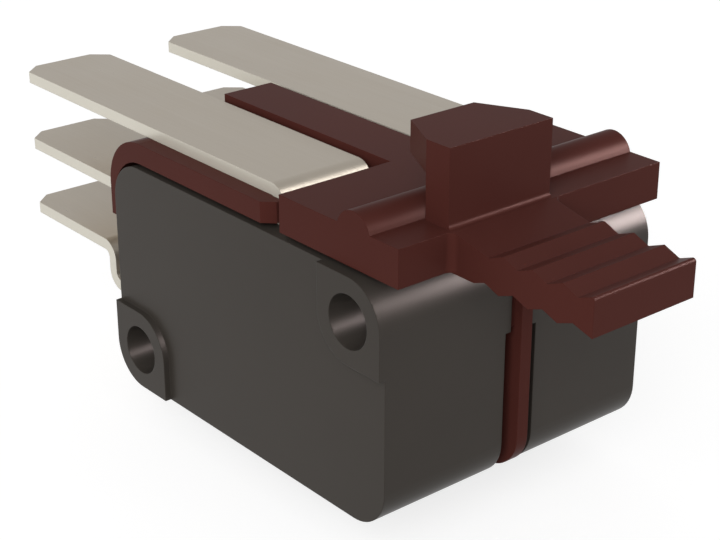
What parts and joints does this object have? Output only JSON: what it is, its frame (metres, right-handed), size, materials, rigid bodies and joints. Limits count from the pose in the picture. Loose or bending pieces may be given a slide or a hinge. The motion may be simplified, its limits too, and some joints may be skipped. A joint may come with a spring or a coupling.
{
  "type": "breaker auxiliary switch",
  "caption": "Auxiliary switch for a circuit breaker: paired snap-action switches with flat tabs, side by side in a moulded carrier with a latch hook and a ribbed thumb tongue.",
  "frame": {"origin": "axis of the front switch's lower mounting hole, at the outer face of its boss", "axes": "+X from the tabs towards the thumb tongue, +Y from the front switch to the rear one, +Z from the plungers up to the carrier's plate and hook"},
  "size_m": [0.0534, 0.0223, 0.026],
  "materials": {
    "brown_carrier": "satin moulded, dark red-brown",
    "grey_housing": "satin moulded, dark warm grey",
    "plated_tab": "tin-plated, soft sheen",
    "contact_rivet": "silver alloy, clean",
    "spring_strip": "copper alloy strip, rolled",
    "plunger": "smooth moulded, near black"
  },
  "bodies": {
    "switch_unit": {"carrier": "brown_carrier", "front_case": "grey_housing", "front_cover": "grey_housing", "front_common_terminal": "plated_tab", "front_nc_terminal": "plated_tab", "front_no_terminal": "plated_tab", "front_nc_contact": "contact_rivet", "front_no_contact": "contact_rivet", "front_blade_rivet": "contact_rivet", "rear_case": "grey_housing", "rear_cover": "grey_housing", "rear_common_terminal": "plated_tab", "rear_nc_terminal": "plated_tab", "rear_no_terminal": "plated_tab", "rear_nc_contact": "contact_rivet", "rear_no_contact": "contact_rivet", "rear_blade_rivet": "contact_rivet"},
    "front_plunger": {"front_plunger": "plunger"},
    "front_contact_arm": {"front_snap_blade": "spring_strip", "front_moving_contact": "contact_rivet"},
    "rear_plunger": {"rear_plunger": "plunger"},
    "rear_contact_arm": {"rear_snap_blade": "spring_strip", "rear_moving_contact": "contact_rivet"}
  },
  "joints": [
    {"name": "front_plunger_press", "type": "slide", "parent": "switch_unit", "child": "front_plunger", "axis": [0, 0, 1], "range_m": [0, 0.002], "stiffness_N_per_m": 500, "springref_m": -0.002},
    {"name": "front_contact_swing", "type": "hinge", "parent": "switch_unit", "child": "front_contact_arm", "pos_m": [0.0201, 0.00515, 0.0036], "axis": [0, 1, 0], "range_deg": [0, 2], "deforming": ["front_snap_blade"]},
    {"name": "rear_plunger_press", "type": "slide", "parent": "switch_unit", "child": "rear_plunger", "axis": [0, 0, 1], "range_m": [0, 0.002], "stiffness_N_per_m": 500, "springref_m": -0.002},
    {"name": "rear_contact_swing", "type": "hinge", "parent": "switch_unit", "child": "rear_contact_arm", "pos_m": [0.0201, 0.01711, 0.0036], "axis": [0, 1, 0], "range_deg": [0, 2], "deforming": ["rear_snap_blade"]}
  ],
  "couplings": [
    {"joint": "front_contact_swing", "follows": "front_plunger_press", "rad_per_m": 17.4},
    {"joint": "rear_contact_swing", "follows": "rear_plunger_press", "rad_per_m": 17.4}
  ]
}
